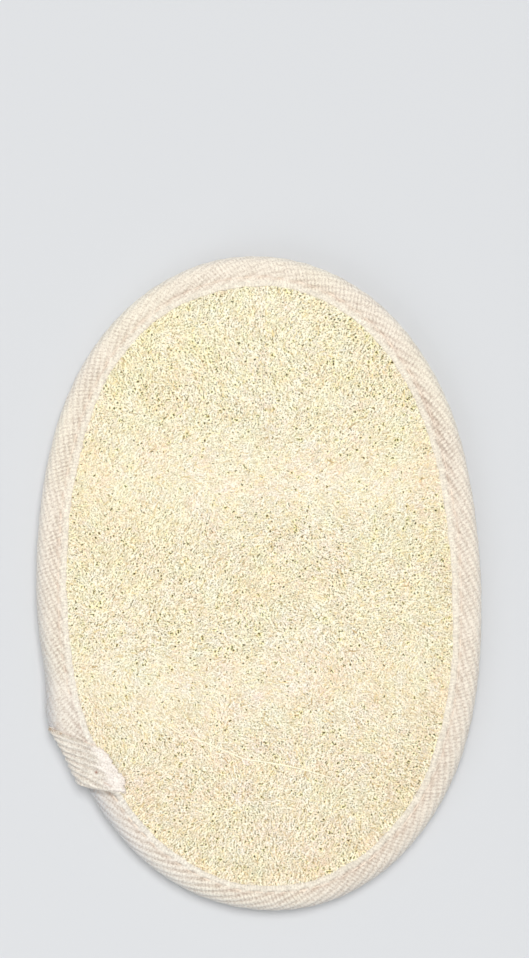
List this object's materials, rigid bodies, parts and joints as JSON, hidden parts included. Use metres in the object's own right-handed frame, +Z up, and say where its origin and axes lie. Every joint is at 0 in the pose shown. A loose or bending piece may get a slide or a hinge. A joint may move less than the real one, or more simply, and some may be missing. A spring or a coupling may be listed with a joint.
{
  "type": "natural loofah sponge pad",
  "caption": "Flat oval scrubbing pad of pressed natural loofah fibre, its edge bound with folded cotton tape and one row of stitching.",
  "frame": {"origin": "on the table under the middle of the pad's outline", "axes": "+Z up out of the scrubbing face, +Y along the pad's length towards the end that is at the top of the picture, +X to the right as the face is seen"},
  "size_m": [0.0994, 0.1462, 0.0099],
  "materials": {
    "loofah": "matte",
    "cotton_tape": "matte",
    "thread": "matte"
  },
  "bodies": {
    "root": {"loofah_pad": "loofah", "binding_tape": "cotton_tape", "tape_end_wrap": "cotton_tape", "seam_thread_face": "thread", "seam_thread_back": "thread"}
  },
  "joints": []
}
